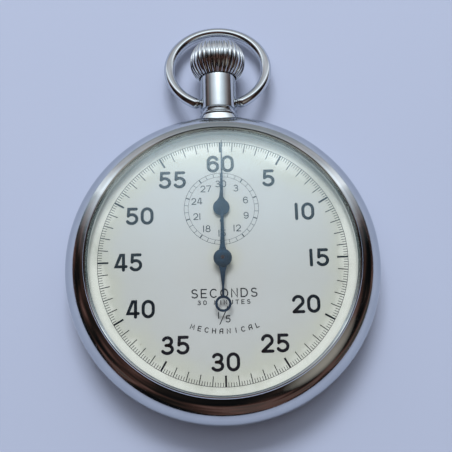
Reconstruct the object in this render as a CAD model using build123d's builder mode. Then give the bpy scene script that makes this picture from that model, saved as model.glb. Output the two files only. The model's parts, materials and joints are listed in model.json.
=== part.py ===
from build123d import *
import os
from math import atan2, cos, degrees, hypot, radians, sin, sqrt

os.makedirs("parts", exist_ok=True)

# All lengths are millimetres. Z = 0 is the case back's flat face, +Z goes through the dial, +Y to the crown.

# Case
case_r = 25.0            # outer radius at the band's widest level
band_r = 5.1             # radius of the rounded band in section
axis_z = 6.0             # level of the band's widest line and of the pendant axis
seam_z = 2.7             # level where the back meets the case middle
rest_r = 16.5            # radius of the flat resting face
bore_r = 20.45           # bore of the case middle round the movement
seat_r = 21.12           # bore of the case middle round the dial and bezel
ledge_z = 8.2            # ledge that carries the movement's flange
lip_z = 12.2             # top of the bezel ring
band_c = case_r - band_r # centre of the band's section arc

# Dial side
dial_low, dial_z = 9.2, 9.6
dial_r = 20.9
register_y = 8.35        # centre of the minute register
hand_low, hand_high = 10.95, 11.12
seconds_set = 0.8        # degrees the seconds hand stands past 60
minute_low, minute_high = 10.12, 10.26

# Pendant, crown and bow, turned on the axis x = 0, z = axis_z
collar_y = 24.9
tube_top_y = 32.3
crown_mid_y, crown_arc_r, crown_arc_x = 35.3, 3.95, 0.68
flutes = 34
push_travel = 1.2
bow_pivot_y, bow_ring_r, bow_wire_r, bow_tilt = 27.9, 8.3, 0.9, -15.0
bow_end_x = 3.84

# Movement levels
plate_low, plate_high = 7.0, 9.2
bridge_low, bridge_high = 3.1, 4.1
work_low, work_high = 1.1, 1.7     # levers and hearts behind the bridges
wind_low, wind_high = 2.0, 2.85    # crown wheel and ratchet wheel
movement_r = 20.2

# Wheel centres and tooth counts
sweep_at = (0.0, 0.0)
minute_at = (0.0, register_y)
barrel_at = (8.5, 8.0)
second_at = (5.0, 0.364)
third_at = (2.448, -3.559)
escape_at = (-3.945, -0.345)
pallet_at = (-5.666, -2.802)
balance_at = (-7.788, -5.833)
crown_wheel_at = (0.0, 13.7)
column_at = (-9.5, 12.2)
hammer_at = (-6.5, 9.8)
brake_at = (-14.2, 8.2)
lever_at = (-13.5, 7.0)
click_at = (6.94, 16.86)
barrel_teeth, barrel_m = 72, 0.2
second_leaves, second_teeth, second_m = 12, 64, 0.13
third_leaves, third_teeth, third_m = 8, 64, 0.12
fourth_leaves, fourth_teeth, fourth_m = 8, 80, 0.09
escape_leaves, escape_teeth, escape_r = 8, 15, 2.6
crown_teeth, ratchet_teeth, wind_m = 22, 46, 0.3009
face_teeth, pinion_teeth, face_r = 24, 12, 2.3
drive_leaves, between_teeth, drive_m = 10, 50, 0.14
between_leaves, minute_teeth, minute_m = 10, 60, 0.13

drive_d = drive_m * (drive_leaves + between_teeth) / 2
minute_d = minute_m * (between_leaves + minute_teeth) / 2
between_y = (drive_d**2 - minute_d**2 + register_y**2) / (2 * register_y)
between_at = (sqrt(drive_d**2 - between_y**2), between_y)

UP = (Align.CENTER, Align.CENTER, Align.MIN)
pendant_plane = Plane.XY.offset(axis_z)
pendant_axis = Axis((0, 0, axis_z), (0, 1, 0))
names = []


def keep(part, name):
    """Label a finished piece and write its file."""
    part.label = name
    export_step(part, f"parts/{name}.step")
    names.append(name)


def polar(centre, radius, angle):
    """Point at a radius and an angle in degrees round a centre."""
    return (centre[0] + radius * cos(radians(angle)), centre[1] + radius * sin(radians(angle)))


def tooth_points(teeth, module, phase, thick=0.40, tip=0.15):
    """Outline of a gear; phase is the angle in degrees of one tooth's centre."""
    root = module * (teeth / 2 - 1.2)
    pitch = module * teeth / 2
    top = module * (teeth / 2 + 0.8)
    flank = [(root, -0.28), (pitch, -thick / 2), (top, -tip / 2), (top, tip / 2), (pitch, thick / 2), (root, 0.28)]
    points = []
    for k in range(teeth):
        for radius, share in flank:
            points.append(polar((0, 0), radius, phase + (k + share) * 360 / teeth))
    return points


def mesh_phase(at_a, at_b, teeth_a, phase_a, teeth_b):
    """Phase of gear b that puts its gap on the tooth of gear a along their centre line."""
    line = degrees(atan2(at_b[1] - at_a[1], at_b[0] - at_a[0]))
    share = ((line - phase_a) * teeth_a / 360) % 1
    return line + 180 - (0.5 - share) * 360 / teeth_b


def gear(at, low, high, teeth, module, phase, bore, rim=0.0, hub=0.0, arms=0):
    """Toothed disc with a round bore and, if arms is given, crossings between hub and rim."""
    with BuildPart() as disc:
        with BuildSketch(Plane.XY.offset(low)):
            with Locations(at):
                Polygon(*tooth_points(teeth, module, phase), align=None)
                Circle(bore, mode=Mode.SUBTRACT)
        extrude(amount=high - low)
        if arms:
            with BuildSketch(Plane.XY.offset(low)):
                with Locations(at):
                    Circle(rim)
                    Circle(hub, mode=Mode.SUBTRACT)
                    for k in range(arms):
                        Rectangle(2 * rim, 0.13 * rim, rotation=180 * k / arms, mode=Mode.SUBTRACT)
            extrude(amount=high - low, mode=Mode.SUBTRACT)
    return disc.part


def turned(at, steps, bore=0.0):
    """Stack of coaxial cylinders; each step is radius, low level, high level."""
    low = min(step[1] for step in steps)
    high = max(step[2] for step in steps)
    with BuildPart() as stack:
        for radius, start, stop in steps:
            with Locations((at[0], at[1], start)):
                Cylinder(radius, stop - start, align=UP)
        if bore:
            with Locations((at[0], at[1], low)):
                Cylinder(bore, high - low, align=UP, mode=Mode.SUBTRACT)
    return stack.part


def pinion(at, steps, low, high, leaves, module, phase):
    """Arbor with leaves cut on it."""
    with BuildPart() as arbor:
        for radius, start, stop in steps:
            with Locations((at[0], at[1], start)):
                Cylinder(radius, stop - start, align=UP)
        with BuildSketch(Plane.XY.offset(low)):
            with Locations(at):
                Polygon(*tooth_points(leaves, module, phase), align=None)
        extrude(amount=high - low)
    return arbor.part


def spiral_ribbon(at, low, high, inner, outer, turns, width, start):
    """Flat spiral spring, as a thin ribbon wound from inner to outer radius."""
    count = int(turns * 30)
    inside = []
    outside = []
    for k in range(count + 1):
        angle = start + 360 * turns * k / count
        radius = inner + (outer - inner) * k / count
        inside.append(polar((0, 0), radius - width / 2, angle))
        outside.append(polar((0, 0), radius + width / 2, angle))
    with BuildPart() as ribbon:
        with BuildSketch(Plane.XY.offset(low)):
            with Locations(at):
                Polygon(*(outside + inside[::-1]), align=None)
        extrude(amount=high - low)
    return ribbon.part


def bar_points(start, end, wide_start, wide_end):
    """Corners of a tapered bar between two points."""
    length = hypot(end[0] - start[0], end[1] - start[1])
    side = ((start[1] - end[1]) / length, (end[0] - start[0]) / length)
    return [
        (start[0] + side[0] * wide_start / 2, start[1] + side[1] * wide_start / 2),
        (start[0] - side[0] * wide_start / 2, start[1] - side[1] * wide_start / 2),
        (end[0] - side[0] * wide_end / 2, end[1] - side[1] * wide_end / 2),
        (end[0] + side[0] * wide_end / 2, end[1] + side[1] * wide_end / 2),
    ]


def dome_middle(top, edge_radius, edge_level):
    """Halfway point of a dome's section arc, whose centre lies on the Z axis."""
    sag = top - edge_level
    dome_radius = (edge_radius**2 + sag**2) / (2 * sag)
    half = atan2(edge_radius, dome_radius - sag) / 2
    return (dome_radius * sin(half), top - dome_radius * (1 - cos(half)))


def slotted_screw(at, head_low, head_high, head_r, shank_r, shank_high, slot_angle):
    """Screw whose slotted head faces the case back."""
    with BuildPart() as screw:
        with Locations((at[0], at[1], head_low)):
            Cylinder(head_r, head_high - head_low, align=UP)
            Cylinder(shank_r, shank_high - head_low, align=UP)
            with Locations((0, 0, 0.06)):
                Box(2.4 * head_r, 0.22, 0.24, rotation=(0, 0, slot_angle), mode=Mode.SUBTRACT)
    return screw.part


# ---------------------------------------------------------------- case
with BuildPart() as case_middle:
    with BuildSketch(Plane.XZ):
        with BuildLine():
            low_r = band_c + sqrt(band_r**2 - (axis_z - seam_z) ** 2)
            high_r = 21.3
            high_z = axis_z + sqrt(band_r**2 - (high_r - band_c) ** 2)
            ThreePointArc((low_r, seam_z), (case_r, axis_z), (high_r, high_z))
            Polyline(
                (high_r, high_z), (seat_r, high_z), (seat_r, ledge_z), (bore_r, ledge_z),
                (bore_r, 3.1), (22.3, 3.1), (22.3, seam_z), (low_r, seam_z),
            )
        make_face()
    revolve(axis=Axis.Z)
    with BuildSketch(Plane.XZ.offset(-22.6)):
        with Locations((0, axis_z)):
            Ellipse(6.3, 3.2)
    with BuildSketch(Plane.XZ.offset(-24.0)):
        with Locations((0, axis_z)):
            Ellipse(4.15, 3.15)
    with BuildSketch(Plane.XZ.offset(-collar_y)):
        with Locations((0, axis_z)):
            Ellipse(3.3, 3.1)
    loft()
    with BuildSketch(Plane.XZ.offset(-19.0)):
        with Locations((0, axis_z)):
            Circle(2.5)
    extrude(amount=-7.0, mode=Mode.SUBTRACT)
keep(case_middle.part, "case_middle")

with BuildPart() as case_back:
    with BuildSketch(Plane.XZ):
        with BuildLine():
            edge_r = low_r - 0.02
            edge_z = seam_z - 0.02
            bend = ((edge_r - rest_r) ** 2 + edge_z**2) / (2 * edge_z)
            turn = atan2(edge_r - rest_r, bend - edge_z) / 2
            ThreePointArc((rest_r, 0), (rest_r + bend * sin(turn), bend * (1 - cos(turn))), (edge_r, edge_z))
            Polyline(
                (edge_r, edge_z), (22.27, edge_z), (22.27, 3.0), (21.9, 3.0), (21.9, 1.9), (21.0, 1.05), (19.6, 0.8),
                (0, 0.8), (0, 0), (rest_r, 0),
            )
        make_face()
    revolve(axis=Axis.Z)
keep(case_back.part, "case_back")

with BuildPart() as bezel:
    with BuildSketch(Plane.XZ):
        with BuildLine():
            Polyline(
                (20.72, 9.65), (21.1, 9.65), (21.1, 10.93), (21.32, 10.93), (21.34, 11.9), (21.24, 12.12),
                (21.1, lip_z), (20.98, 12.12), (20.98, 11.2), (20.72, 11.0), (20.72, 9.65),
            )
        make_face()
    revolve(axis=Axis.Z)
keep(bezel.part, "bezel")

with BuildPart() as crystal:
    with BuildSketch(Plane.XZ):
        with BuildLine():
            ThreePointArc((0, 12.95), dome_middle(12.95, 20.6, 12.02), (20.6, 12.02))
            Polyline((20.6, 12.02), (20.8, 11.94), (20.94, 11.75), (20.94, 11.24), (20.3, 11.24))
            ThreePointArc((20.3, 11.24), dome_middle(12.25, 20.3, 11.24), (0, 12.25))
            Line((0, 12.25), (0, 12.95))
        make_face()
    revolve(axis=Axis.Z)
keep(crystal.part, "crystal")

# ---------------------------------------------------------------- pendant, crown, bow
with BuildPart() as pendant_tube:
    with BuildSketch(pendant_plane):
        with BuildLine():
            Polyline(
                (0.75, 20.9), (2.47, 20.9), (2.47, collar_y + 0.02), (3.1, collar_y + 0.02), (3.26, 25.08),
                (3.26, 25.16), (3.1, 25.3), (2.86, 25.36), (2.86, 25.42), (2.98, 25.5), (2.98, 25.66),
            )
            ThreePointArc((2.98, 25.66), (2.56, 25.9), (2.62, 26.16))
            Polyline((2.62, 26.16), (3.05, 26.34), (2.97, 32.1), (2.87, tube_top_y), (2.45, tube_top_y))
            Polyline((2.45, tube_top_y), (2.35, 32.2), (2.35, 26.6), (0.75, 26.6), (0.75, 20.9))
        make_face()
    revolve(axis=pendant_axis)
    with Locations(Location((0, bow_pivot_y, axis_z), (0, 90, 0))):
        Cylinder(0.55, 8, mode=Mode.SUBTRACT)
keep(pendant_tube.part, "pendant_tube")

with BuildPart() as flute_cutter:
    with BuildSketch(Plane((0.26, crown_mid_y, axis_z), x_dir=(cos(radians(-75)), sin(radians(-75)), 0), z_dir=(
            sin(radians(75)), cos(radians(75)), 0))):
        with Locations((crown_arc_r + 0.57, 0)):
            Circle(0.36)
    revolve(axis=Axis((0.26, crown_mid_y, axis_z), (0, 0, 1)), revolution_arc=150)

with BuildPart() as crown:
    with BuildSketch(pendant_plane):
        with BuildLine():
            skirt_y = 32.25
            skirt_r = crown_arc_x + sqrt(crown_arc_r**2 - (crown_mid_y - skirt_y) ** 2)
            tip_y = crown_mid_y + crown_arc_r
            ThreePointArc((skirt_r, skirt_y), (crown_arc_x + crown_arc_r, crown_mid_y), (crown_arc_x, tip_y))
            Polyline(
                (crown_arc_x, tip_y), (0, tip_y), (0, 34.6), (0.64, 34.6), (0.64, 31.4), (1.3, 31.4), (1.3, 33.9),
                (3.14, 33.9), (3.14, skirt_y - 0.25), (skirt_r - 0.04, skirt_y - 0.25), (skirt_r, skirt_y),
            )
        make_face()
    revolve(axis=pendant_axis)
    with Locations(Plane((0, 0, axis_z), x_dir=(1, 0, 0), z_dir=(0, 1, 0))):
        with PolarLocations(0, flutes):
            add(flute_cutter.part.moved(Location((0, 0, -axis_z))).rotate(Axis.X, 90), mode=Mode.SUBTRACT)
keep(crown.part, "crown")

with BuildPart() as winding_stem:
    with BuildSketch(pendant_plane):
        with BuildLine():
            Polyline(
                (0, 18.45), (0.6, 18.45), (0.6, 28.0), (0.62, 28.0), (0.62, 34.5), (0, 34.5), (0, 18.45),
            )
        make_face()
    revolve(axis=pendant_axis)
    with BuildSketch(Plane.XZ.offset(-14.9)):
        with Locations((0, axis_z)):
            Rectangle(0.8, 0.8)
    extrude(amount=-3.65)
keep(winding_stem.part, "winding_stem")

with BuildPart() as crown_spring:
    with BuildLine() as coil:
        Helix(0.95, 6.6, 1.8, center=(0, 26.85, axis_z), direction=(0, 1, 0))
    with BuildSketch(Plane(origin=coil.line @ 0, z_dir=coil.line % 0)):
        Circle(0.16)
    sweep(is_frenet=True)
keep(crown_spring.part, "crown_spring")

with BuildPart() as bow:
    rise = sqrt(bow_ring_r**2 - bow_end_x**2)
    with BuildLine(Plane((0, bow_pivot_y, axis_z), x_dir=(1, 0, 0), z_dir=(
            0, -sin(radians(bow_tilt)), cos(radians(bow_tilt))))) as bow_line:
        ThreePointArc((-bow_end_x, 0), (0, rise + bow_ring_r), (bow_end_x, 0))
    with BuildSketch(Plane(origin=bow_line.line @ 0, z_dir=bow_line.line % 0)):
        Circle(bow_wire_r)
    sweep()
    for side in (-1, 1):
        with Locations((side * bow_end_x, bow_pivot_y, axis_z)):
            Sphere(bow_wire_r)
        with Locations(Location((side * 3.0, bow_pivot_y, axis_z), (0, 90, 0))):
            Cylinder(0.5, 1.0)
keep(bow.part, "bow")

# ---------------------------------------------------------------- dial and hands
with BuildPart() as dial:
    with BuildSketch(Plane.XY.offset(dial_low)):
        Circle(dial_r)
        Circle(0.62, mode=Mode.SUBTRACT)
        with Locations(minute_at):
            Circle(0.55, mode=Mode.SUBTRACT)
    extrude(amount=dial_z - dial_low)
    with Locations((-14.5, -9.5, 8.0), (14.5, -9.5, 8.0), (-12.5, 12.5, 8.0)):
        Cylinder(0.45, 1.2, align=UP)
keep(dial.part, "dial")

with BuildPart() as seconds_hand:
    with BuildSketch(Plane.XY.offset(hand_low)):
        Circle(1.3)
        Circle(0.31, mode=Mode.SUBTRACT)
        Polygon((0.62, 1.1), (0.36, 2.1), (0.26, 5.0), (0.07, 19.2), (-0.07, 19.2), (-0.26, 5.0), (-0.36, 2.1),
                (-0.62, 1.1), align=None)
        Polygon((0.7, -1.0), (0.42, -2.0), (0.17, -4.4), (0.17, -6.0), (-0.17, -6.0), (-0.17, -4.4), (-0.42, -2.0),
                (-0.7, -1.0), align=None)
        with Locations((0, -7.1)):
            Circle(1.25)
            Circle(0.88, mode=Mode.SUBTRACT)
    extrude(amount=hand_high - hand_low)
    with Locations((0, 0, 10.5)):
        Cylinder(0.75, hand_low - 10.5, align=UP)
        Cylinder(0.31, hand_low - 10.5, align=UP, mode=Mode.SUBTRACT)
    with BuildSketch(Plane.XZ):
        with BuildLine():
            Polyline((0.31, hand_high), (1.42, hand_high), (1.42, 11.25))
            ThreePointArc((1.42, 11.25), (1.16, 11.56), (0.75, 11.68))
            Polyline((0.75, 11.68), (0.31, 11.68), (0.31, hand_high))
        make_face()
    revolve(axis=Axis.Z)
keep(seconds_hand.part.rotate(Axis.Z, -seconds_set), "seconds_hand")

with BuildPart() as minute_hand:
    with BuildSketch(Plane.XY.offset(minute_low)):
        with Locations(minute_at):
            Circle(1.3)
            Polygon((0.8, 0.95), (0.34, 1.65), (0.19, 2.5), (0.05, 5.2), (-0.05, 5.2), (-0.19, 2.5), (-0.34, 1.65),
                    (-0.8, 0.95), align=None)
            Polygon((0.5, -0.9), (0.13, -1.5), (0.13, -2.1), (-0.13, -2.1), (-0.13, -1.5), (-0.5, -0.9), align=None)
        with Locations((minute_at[0], minute_at[1] - 2.15)):
            Circle(0.3)
        with Locations(minute_at):
            Circle(0.26, mode=Mode.SUBTRACT)
    extrude(amount=minute_high - minute_low)
    with Locations((minute_at[0], minute_at[1], 9.8)):
        Cylinder(0.48, 0.72, align=UP)
        Cylinder(0.26, 0.72, align=UP, mode=Mode.SUBTRACT)
keep(minute_hand.part, "minute_hand")

# ---------------------------------------------------------------- main plate and bridges
foot_ring = (17.4, movement_r)
barrel_screws = [polar((0, 0), 18.8, angle) for angle in (12, 112, 168)]
train_screws = [polar((0, 0), 18.8, angle) for angle in (296, 345)]
cock_screws = [polar((0, 0), 18.4, 217)]
clamp_angles = (90, 145, 318)
pivots = [second_at, third_at, escape_at]

with BuildPart() as main_plate:
    with Locations((0, 0, plate_low)):
        Cylinder(movement_r, ledge_z + 0.02 - plate_low, align=UP)
    with Locations((0, 0, ledge_z + 0.02)):
        Cylinder(dial_r, plate_high - 0.02 - ledge_z - 0.02, align=UP)
    with Locations((0, 0, 7.9)):
        Cylinder(1.1, 2, align=UP, mode=Mode.SUBTRACT)
    with Locations((between_at[0], between_at[1], 7.9)):
        Cylinder(3.9, 2, align=UP, mode=Mode.SUBTRACT)
    with Locations((minute_at[0], minute_at[1], 7.9)):
        Cylinder(4.2, 2, align=UP, mode=Mode.SUBTRACT)
    with BuildSketch(Plane.XY.offset(8.92)):
        Polygon(*bar_points((between_at[0], between_at[1]), (8.2, 2.6), 1.7, 2.2), align=None)
    extrude(amount=1, mode=Mode.SUBTRACT)
    with Locations(sweep_at, minute_at):
        Cylinder(0.45, 20, mode=Mode.SUBTRACT)
    with Locations((barrel_at[0], barrel_at[1], plate_low)):
        Cylinder(0.93, 1.0, align=UP, mode=Mode.SUBTRACT)
    with Locations((between_at[0], between_at[1], 7.4)):
        Cylinder(0.18, 1.0, align=UP, mode=Mode.SUBTRACT)
    for at in pivots + [pallet_at, balance_at]:
        with Locations((at[0], at[1], plate_low)):
            Cylinder(0.71, 0.4, align=UP, mode=Mode.SUBTRACT)
            Cylinder(0.3, 0.8, align=UP, mode=Mode.SUBTRACT)
    for at in barrel_screws + train_screws + cock_screws:
        with Locations((at[0], at[1], plate_low)):
            Cylinder(0.52, 1.3, align=UP, mode=Mode.SUBTRACT)
    for at in [(-14.5, -9.5), (14.5, -9.5), (-12.5, 12.5)]:
        with Locations((at[0], at[1], 7.9)):
            Cylinder(0.48, 2, align=UP, mode=Mode.SUBTRACT)
    with Locations((0, 16.0, plate_low)):
        Box(3.2, 1.6, 0.6, align=UP, mode=Mode.SUBTRACT)
    for at in (lever_at, column_at):
        with Locations((at[0], at[1], plate_low)):
            Cylinder(0.42, 0.9, align=UP, mode=Mode.SUBTRACT)
    with Locations((-11.3, 0.9, plate_low)):
        Cylinder(0.42, 0.9, align=UP, mode=Mode.SUBTRACT)
keep(main_plate.part, "main_plate")

with BuildPart() as barrel_bridge:
    outline = [(20.5, 2.3), (3.4, 2.3), (-3.0, 5.9), (-20.5, 5.9), (-20.5, 20.5), (20.5, 20.5)]
    with BuildSketch(Plane.XY.offset(bridge_low)):
        Circle(movement_r)
        Polygon(*outline, align=None, mode=Mode.INTERSECT)
    extrude(amount=bridge_high - bridge_low)
    with BuildSketch(Plane.XY.offset(bridge_high)):
        Circle(foot_ring[1])
        Circle(foot_ring[0], mode=Mode.SUBTRACT)
        Polygon(*outline, align=None, mode=Mode.INTERSECT)
        with Locations(barrel_at):
            Circle(7.8, mode=Mode.SUBTRACT)
    extrude(amount=plate_low - 0.02 - bridge_high)
    with Locations((barrel_at[0], barrel_at[1], bridge_low)):
        Cylinder(1.23, 1.0, align=UP, mode=Mode.SUBTRACT)
    with Locations((crown_wheel_at[0], crown_wheel_at[1], bridge_low)):
        Cylinder(0.93, 1.0, align=UP, mode=Mode.SUBTRACT)
    with Locations((minute_at[0], minute_at[1], bridge_low)):
        Cylinder(0.71, 0.4, align=UP, mode=Mode.SUBTRACT)
        Cylinder(0.45, 1.0, align=UP, mode=Mode.SUBTRACT)
    with Locations((column_at[0], column_at[1], bridge_low)):
        Cylinder(0.53, 1.0, align=UP, mode=Mode.SUBTRACT)
    for at in (hammer_at, brake_at, click_at):
        with Locations((at[0], at[1], bridge_low)):
            Cylinder(0.42, 0.8, align=UP, mode=Mode.SUBTRACT)
    for at in barrel_screws:
        with Locations((at[0], at[1], bridge_low)):
            Cylinder(0.52, 5, align=UP, mode=Mode.SUBTRACT)
            Cylinder(0.95, 0.62, align=UP, mode=Mode.SUBTRACT)
    for angle in clamp_angles[:2]:
        at = polar((0, 0), 19.2, angle)
        with Locations((at[0], at[1], bridge_low)):
            Cylinder(0.42, 0.8, align=UP, mode=Mode.SUBTRACT)
    with BuildSketch(Plane.XZ.offset(-17.0)):
        with Locations((0, axis_z)):
            Circle(0.8)
    extrude(amount=-4.0, mode=Mode.SUBTRACT)
keep(barrel_bridge.part, "barrel_bridge")

with BuildPart() as train_bridge:
    outline = [(20.5, 2.0), (3.3, 2.0), (-3.1, 5.6), (-6.2, 5.6), (-6.2, -0.4), (-1.2, -20.5), (20.5, -20.5)]
    with BuildSketch(Plane.XY.offset(bridge_low)):
        Circle(movement_r)
        Polygon(*outline, align=None, mode=Mode.INTERSECT)
        with Locations(balance_at):
            Circle(5.85, mode=Mode.SUBTRACT)
    extrude(amount=bridge_high - bridge_low)
    with BuildSketch(Plane.XY.offset(bridge_high)):
        Circle(foot_ring[1])
        Circle(foot_ring[0], mode=Mode.SUBTRACT)
        Polygon(*outline, align=None, mode=Mode.INTERSECT)
    extrude(amount=plate_low - 0.02 - bridge_high)
    for at in pivots:
        with Locations((at[0], at[1], bridge_low)):
            Cylinder(0.71, 0.4, align=UP, mode=Mode.SUBTRACT)
            Cylinder(0.3, 1.0, align=UP, mode=Mode.SUBTRACT)
    with Locations((0, 0, bridge_low)):
        Cylinder(0.91, 0.4, align=UP, mode=Mode.SUBTRACT)
        Cylinder(0.5, 1.0, align=UP, mode=Mode.SUBTRACT)
    for at in train_screws:
        with Locations((at[0], at[1], bridge_low)):
            Cylinder(0.52, 5, align=UP, mode=Mode.SUBTRACT)
            Cylinder(0.95, 0.62, align=UP, mode=Mode.SUBTRACT)
    at = polar((0, 0), 19.2, clamp_angles[2])
    with Locations((at[0], at[1], bridge_low)):
        Cylinder(0.42, 0.8, align=UP, mode=Mode.SUBTRACT)
keep(train_bridge.part, "train_bridge")

with BuildPart() as balance_cock:
    foot = [polar((0, 0), 22.0, 198), (0, 0), polar((0, 0), 22.0, 236)]
    with BuildSketch(Plane.XY.offset(1.95)):
        Polygon(*bar_points(balance_at, polar((0, 0), 18.6, 217), 3.2, 7.4), align=None)
        with Locations(balance_at):
            Circle(1.9)
        Circle(movement_r, mode=Mode.INTERSECT)
    extrude(amount=0.8)
    with BuildSketch(Plane.XY.offset(1.95)):
        Circle(movement_r)
        Circle(16.4, mode=Mode.SUBTRACT)
        Polygon(*foot, align=None, mode=Mode.INTERSECT)
    extrude(amount=plate_low - 0.02 - 1.95)
    with Locations((balance_at[0], balance_at[1], 1.95)):
        Cylinder(0.71, 0.4, align=UP, mode=Mode.SUBTRACT)
        Cylinder(0.3, 1.0, align=UP, mode=Mode.SUBTRACT)
    for at in cock_screws:
        with Locations((at[0], at[1], 1.95)):
            Cylinder(0.52, 6, align=UP, mode=Mode.SUBTRACT)
            Cylinder(0.95, 0.62, align=UP, mode=Mode.SUBTRACT)
    at = polar(balance_at, 3.55, 217)
    with Locations((at[0], at[1], 1.95)):
        Cylinder(0.3, 1.0, align=UP, mode=Mode.SUBTRACT)
keep(balance_cock.part, "balance_cock")

with BuildPart() as pallet_bridge:
    with BuildSketch(Plane.XY.offset(4.2)):
        Polygon(*bar_points(pallet_at, (-11.3, 0.9), 1.9, 1.9), align=None)
        with Locations(pallet_at, (-11.3, 0.9)):
            Circle(0.95)
    extrude(amount=0.6)
    with Locations((-11.3, 0.9, 4.8)):
        Cylinder(0.9, plate_low - 0.02 - 4.8, align=UP)
        Cylinder(0.4, 2.9, align=UP)
    with Locations((pallet_at[0], pallet_at[1], 4.2)):
        Cylinder(0.16, 0.6, align=UP, mode=Mode.SUBTRACT)
keep(pallet_bridge.part, "pallet_bridge")

with BuildPart() as register_bridge:
    with BuildSketch(Plane.XY.offset(8.94)):
        Polygon(*bar_points(between_at, (8.0, 2.64), 1.5, 1.9), align=None)
        with Locations(between_at):
            Circle(0.16, mode=Mode.SUBTRACT)
    extrude(amount=0.2)
keep(register_bridge.part, "register_bridge")

# ---------------------------------------------------------------- winding work
with BuildPart() as winding_pinion:
    points = []
    for k in range(pinion_teeth):
        for radius, share in [(0.86, -0.28), (1.15, -0.18), (1.38, -0.09), (1.38, 0.09), (1.15, 0.18), (0.86, 0.28)]:
            points.append(polar((0, 0), radius, 75 + (k + share) * 360 / pinion_teeth))
    with BuildSketch(Plane.XZ.offset(-15.55)):
        with Locations((0, axis_z)):
            Polygon(*points, align=None)
            Rectangle(0.86, 0.86, mode=Mode.SUBTRACT)
    extrude(amount=-0.9)
    with BuildSketch(Plane.XZ.offset(-16.45)):
        with Locations((0, axis_z)):
            Circle(0.86)
            Rectangle(0.86, 0.86, mode=Mode.SUBTRACT)
    extrude(amount=-0.7)
keep(winding_pinion.part, "winding_pinion")

with BuildPart() as crown_wheel:
    with BuildSketch(Plane.XY.offset(wind_low)):
        with Locations(crown_wheel_at):
            Polygon(*tooth_points(crown_teeth, wind_m, 0), align=None)
    extrude(amount=wind_high - wind_low)
    with Locations((crown_wheel_at[0], crown_wheel_at[1], wind_high)):
        Cylinder(1.5, 0.2, align=UP)
        Cylinder(0.9, 1.28, align=UP)
    with Locations((crown_wheel_at[0], crown_wheel_at[1], wind_low)):
        Cylinder(0.42, 3.0, align=UP, mode=Mode.SUBTRACT)
keep(crown_wheel.part, "crown_wheel")

with BuildPart() as crown_face_wheel:
    with Locations((crown_wheel_at[0], crown_wheel_at[1], 4.15)):
        Cylinder(2.66, 0.35, align=UP)
        Cylinder(0.42, 0.35, align=UP, mode=Mode.SUBTRACT)
    with BuildSketch(Plane.XY.offset(4.5)):
        with Locations(crown_wheel_at):
            Polygon(*[
                polar((0, 0), radius, 90 + (k + share) * 360 / face_teeth)
                for k in range(face_teeth)
                for radius, share in [(1.7, -0.5), (1.7, -0.19), (2.66, -0.19), (2.66, 0.19), (1.7, 0.19)]
            ], align=None)
            Circle(1.85, mode=Mode.SUBTRACT)
    extrude(amount=0.58)
keep(crown_face_wheel.part, "crown_face_wheel")

with BuildPart() as crown_wheel_screw:
    with Locations((crown_wheel_at[0], crown_wheel_at[1], 1.78)):
        Cylinder(1.3, 0.2, align=UP)
        Cylinder(0.4, 2.7, align=UP)
        with Locations((0, 0, 0.05)):
            Box(3.0, 0.25, 0.2, rotation=(0, 0, 35), mode=Mode.SUBTRACT)
keep(crown_wheel_screw.part, "crown_wheel_screw")

ratchet_phase = mesh_phase(crown_wheel_at, barrel_at, crown_teeth, 0, ratchet_teeth)
with BuildPart() as ratchet_wheel:
    with BuildSketch(Plane.XY.offset(wind_low)):
        with Locations(barrel_at):
            Polygon(*tooth_points(ratchet_teeth, wind_m, ratchet_phase), align=None)
            Rectangle(1.44, 1.44, mode=Mode.SUBTRACT)
    extrude(amount=wind_high - wind_low)
keep(ratchet_wheel.part, "ratchet_wheel")

with BuildPart() as barrel_arbor:
    for radius, low, high in [(1.2, 2.9, 4.2), (1.15, 4.2, 6.2), (0.9, 6.2, 7.8)]:
        with Locations((barrel_at[0], barrel_at[1], low)):
            Cylinder(radius, high - low, align=UP)
    with BuildSketch(Plane.XY.offset(wind_low)):
        with Locations(barrel_at):
            Rectangle(1.4, 1.4)
    extrude(amount=0.9)
    with Locations((barrel_at[0], barrel_at[1], wind_low)):
        Cylinder(0.37, 1.6, align=UP, mode=Mode.SUBTRACT)
keep(barrel_arbor.part, "barrel_arbor")

keep(slotted_screw(barrel_at, 1.76, 1.98, 1.4, 0.35, 3.4, 70), "ratchet_screw")

with BuildPart() as click:
    beak = polar(barrel_at, wind_m * (ratchet_teeth / 2 + 0.8) + 0.06, 84)
    with BuildSketch(Plane.XY.offset(wind_low)):
        with Locations(click_at):
            Circle(1.15)
        Polygon((click_at[0] - 0.5, click_at[1] - 0.95), beak, (beak[0] + 0.35, beak[1] + 0.5),
                (click_at[0] + 0.7, click_at[1] + 0.85), align=None)
        with Locations(click_at):
            Circle(0.46, mode=Mode.SUBTRACT)
    extrude(amount=0.8)
keep(click.part, "click")

with BuildPart() as click_spring:
    with BuildSketch(Plane.XY.offset(2.5)):
        Polygon((10.3, 16.5), (10.3, 16.3), (13.7, 14.1), (13.85, 14.25), align=None)
    extrude(amount=0.4)
    with Locations((13.7, 14.2, 2.35)):
        Cylinder(0.45, 0.73, align=UP)
keep(click_spring.part, "click_spring")

# ---------------------------------------------------------------- going train
second_phase = 0.0
third_phase = 0.0
fourth_phase = 0.0
fourth_pinion_phase = 0.0
drive_phase = 0.0
third_wheel_phase = mesh_phase(sweep_at, third_at, fourth_leaves, fourth_pinion_phase, third_teeth)
second_wheel_phase = mesh_phase(third_at, second_at, third_leaves, third_phase, second_teeth)
barrel_phase = mesh_phase(second_at, barrel_at, second_leaves, second_phase, barrel_teeth)
escape_phase = mesh_phase(sweep_at, escape_at, fourth_teeth, fourth_phase, escape_leaves)

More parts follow.
